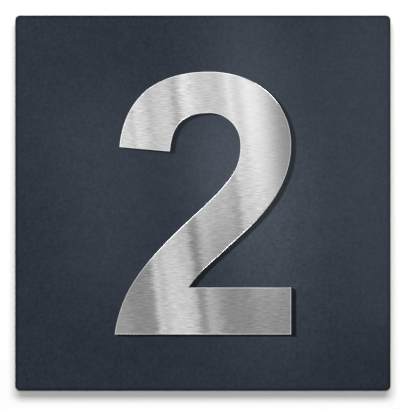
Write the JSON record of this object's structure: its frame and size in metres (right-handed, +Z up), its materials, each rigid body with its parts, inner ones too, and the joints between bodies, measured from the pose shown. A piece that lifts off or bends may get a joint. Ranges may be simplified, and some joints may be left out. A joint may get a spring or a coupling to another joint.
{
  "type": "house number plaque",
  "caption": "Square painted wall plaque with a raised brushed steel figure 2, held off the wall on hidden threaded studs and spacer sleeves.",
  "frame": {"origin": "on the wall plane, behind the middle of the plate and in the middle of the wall studs", "axes": "+Z up, +Y into the wall along the wall studs, so that the front faces -Y and +X is to the right of someone reading it"},
  "size_m": [0.2, 0.045, 0.2],
  "materials": {
    "powder_coated_steel": "fine matt anthracite powder coat",
    "brushed_stainless": "brushed across, satin",
    "stainless_thread": "rolled thread, bright",
    "zinc_plated_steel": "zinc plated",
    "turned_aluminium": "turned, fine tool marks"
  },
  "bodies": {
    "root": {"backing_plate": "powder_coated_steel", "numeral_two": "brushed_stainless", "numeral_studs": "stainless_thread", "numeral_washers": "zinc_plated_steel", "numeral_nuts": "zinc_plated_steel", "wall_studs": "stainless_thread", "spacer_sleeve_top_left": "turned_aluminium", "spacer_sleeve_top_right": "turned_aluminium", "spacer_sleeve_bottom_left": "turned_aluminium", "spacer_sleeve_bottom_right": "turned_aluminium"}
  },
  "joints": []
}
